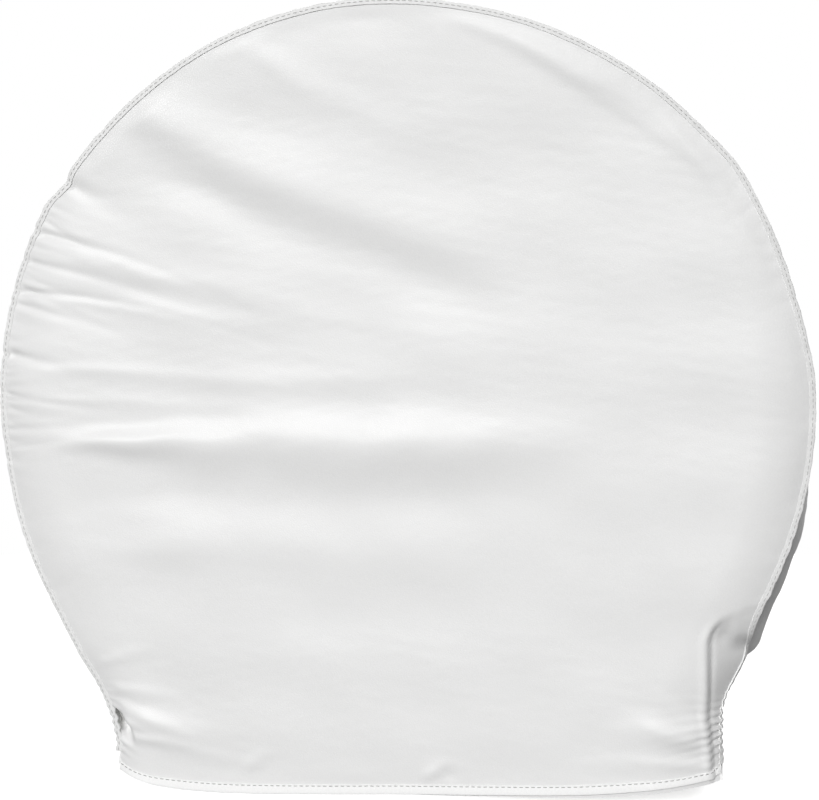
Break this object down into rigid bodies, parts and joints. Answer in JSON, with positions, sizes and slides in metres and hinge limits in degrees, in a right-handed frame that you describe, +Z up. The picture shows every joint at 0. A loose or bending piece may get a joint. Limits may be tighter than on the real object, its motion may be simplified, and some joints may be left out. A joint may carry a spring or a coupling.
{
  "type": "spare tire cover",
  "caption": "Soft slip-on vinyl cover for a mounted trailer or RV wheel: round flat face, tread band, open bottom and back, with a buckled rear strap.",
  "frame": {"origin": "centre of the wheel that the cover is worn on: on the wheel's axis, half way through the cover's depth", "axes": "+Y along the wheel's axis, from the face to the back; +Z up; +X to the right when looking at the face"},
  "size_m": [0.816, 0.2362, 0.797],
  "materials": {
    "vinyl": "satin fabric-backed vinyl, white",
    "binding": "satin vinyl seam binding and turned hems, white",
    "elastic": "braided elastic, off-white",
    "webbing": "flat polypropylene webbing, light grey-white",
    "buckle_plastic": "moulded acetal, white",
    "nickel": "nickel-plated brass",
    "label": "blank woven label"
  },
  "bodies": {
    "cover": {"face_panel": "vinyl", "tread_panel_left": "vinyl", "tread_panel_right": "vinyl", "back_panel": "vinyl", "front_seam_binding": "binding", "rear_seam_binding": "binding", "bottom_hem": "binding", "rear_hems": "binding", "side_hem_left": "binding", "side_hem_right": "binding", "side_elastics": "elastic", "rear_casing": "binding", "rear_elastic": "elastic", "corner_patch_left": "vinyl", "corner_patch_right": "vinyl", "grommet_eyelets": "nickel", "grommet_washers": "nickel", "care_label": "label", "strap_left": "webbing", "strap_right": "webbing", "buckle_socket": "buckle_plastic"},
    "plug": {"buckle_plug": "buckle_plastic"},
    "latch_upper": {"buckle_latch_upper": "buckle_plastic"},
    "latch_lower": {"buckle_latch_lower": "buckle_plastic"},
    "keeper": {"strap_keeper": "buckle_plastic"}
  },
  "joints": [
    {"name": "buckle_release", "type": "slide", "parent": "cover", "child": "plug", "axis": [1, 0, 0], "range_m": [0, 0.034], "deforming": ["strap_right", "buckle_latch_upper", "buckle_latch_lower"]},
    {"name": "latch_upper_squeeze", "type": "hinge", "parent": "plug", "child": "latch_upper", "pos_m": [-0.0112, 0.118, -0.304], "axis": [0, -1, 0], "range_deg": [0, 13], "stiffness_Nm_per_rad": 1},
    {"name": "latch_lower_squeeze", "type": "hinge", "parent": "plug", "child": "latch_lower", "pos_m": [-0.0112, 0.118, -0.324], "axis": [0, 1, 0], "range_deg": [0, 13], "stiffness_Nm_per_rad": 1},
    {"name": "keeper_slide", "type": "slide", "parent": "cover", "child": "keeper", "axis": [1, 0, 0], "range_m": [-0.025, 0.025]}
  ]
}
